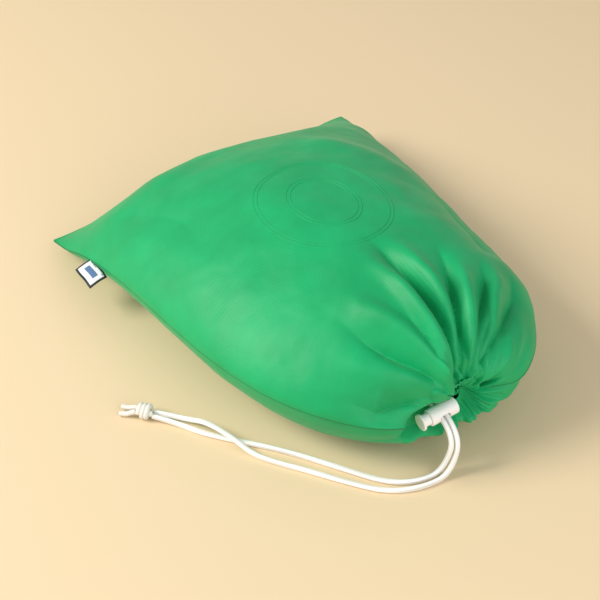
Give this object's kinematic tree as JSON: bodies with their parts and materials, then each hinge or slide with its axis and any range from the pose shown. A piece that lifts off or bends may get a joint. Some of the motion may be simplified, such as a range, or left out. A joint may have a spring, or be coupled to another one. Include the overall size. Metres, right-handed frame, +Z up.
{
  "type": "drawstring laundry bag",
  "caption": "Small drawstring laundry bag, drawn shut and lying on its back, with a spring cord lock and a knotted cord.",
  "frame": {"origin": "on the resting surface, under the middle of the back panel", "axes": "+Z up, mouth towards -Y, bottom seam along +Y, label on the -X side"},
  "size_m": [0.331, 0.389, 0.124],
  "materials": {
    "bag_cloth": "plain woven polyester, soft satin sheen",
    "thread": "spun polyester thread",
    "cord": "braided polyester cord",
    "lock_plastic": "moulded polypropylene",
    "spring_steel": "drawn wire",
    "label_cloth": "woven damask"
  },
  "bodies": {
    "bag": {"front_panel": "bag_cloth", "back_panel": "bag_cloth", "left_seam": "bag_cloth", "right_seam": "bag_cloth", "bottom_seam": "bag_cloth", "mouth_casing": "bag_cloth", "casing_stitching": "thread", "exit_bartacks": "thread", "drawstring_loop": "cord", "strand_a": "cord", "strand_b": "cord", "end_knot": "cord", "knot_tails": "cord", "woven_label": "label_cloth", "label_stitching": "thread"},
    "lock": {"lock_barrel": "lock_plastic", "lock_spring": "spring_steel"},
    "plunger": {"lock_plunger": "lock_plastic"}
  },
  "joints": [
    {"name": "lock_slide", "type": "slide", "parent": "bag", "child": "lock", "axis": [0, -1, 0], "range_m": [0, 0.004]},
    {"name": "plunger_press", "type": "slide", "parent": "lock", "child": "plunger", "axis": [0.996, 0, 0.0889], "range_m": [0, 0.003], "stiffness_N_per_m": 400, "springref_m": -0.002, "deforming": ["lock_spring"]}
  ]
}
